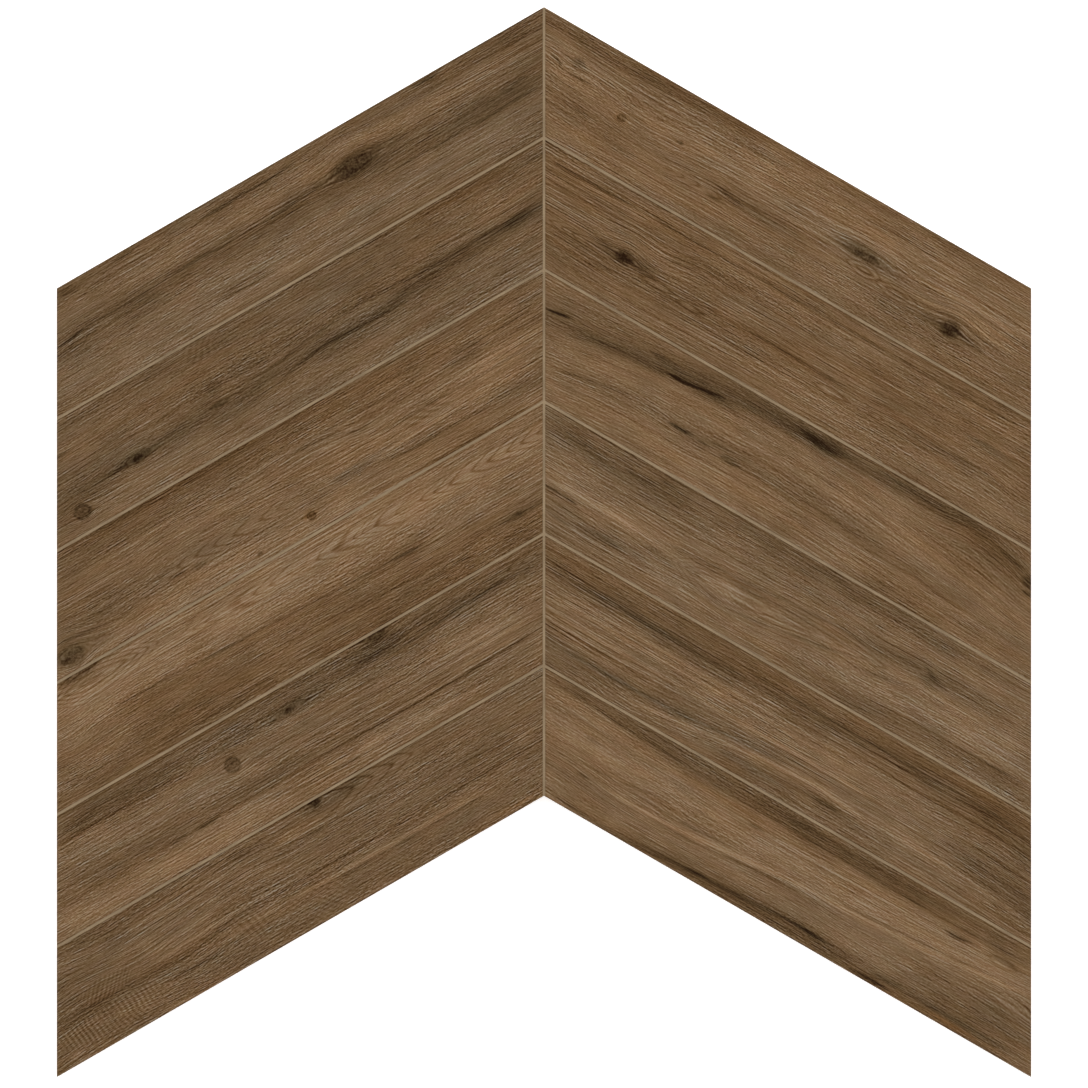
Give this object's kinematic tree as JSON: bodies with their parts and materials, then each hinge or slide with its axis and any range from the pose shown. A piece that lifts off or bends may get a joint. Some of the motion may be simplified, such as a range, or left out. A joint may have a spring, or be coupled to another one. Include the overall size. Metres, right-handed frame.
{
  "type": "chevron porcelain tile sheet",
  "caption": "Arrow-shaped mesh-mounted sheet of wood-look porcelain tile pieces, laid as a chevron with filled joints.",
  "frame": {"origin": "centre of the sheet's bounding box, on the underside of the mesh, which is the plane it rests on", "axes": "+X across both columns to the right, +Y up the spine towards the apex, +Z out of the tile faces"},
  "size_m": [0.3752, 0.412, 0.0094],
  "materials": {
    "porcelain": "matt, printed and pressed wood grain",
    "grout": "matt, fine sanded",
    "mesh": "coated glass-fibre yarn"
  },
  "bodies": {
    "root": {"tile_left_1": "porcelain", "tile_left_2": "porcelain", "tile_left_3": "porcelain", "tile_left_4": "porcelain", "tile_left_5": "porcelain", "tile_left_6": "porcelain", "tile_right_1": "porcelain", "tile_right_2": "porcelain", "tile_right_3": "porcelain", "tile_right_4": "porcelain", "tile_right_5": "porcelain", "tile_right_6": "porcelain", "grout": "grout", "mesh_backing": "mesh"}
  },
  "joints": []
}
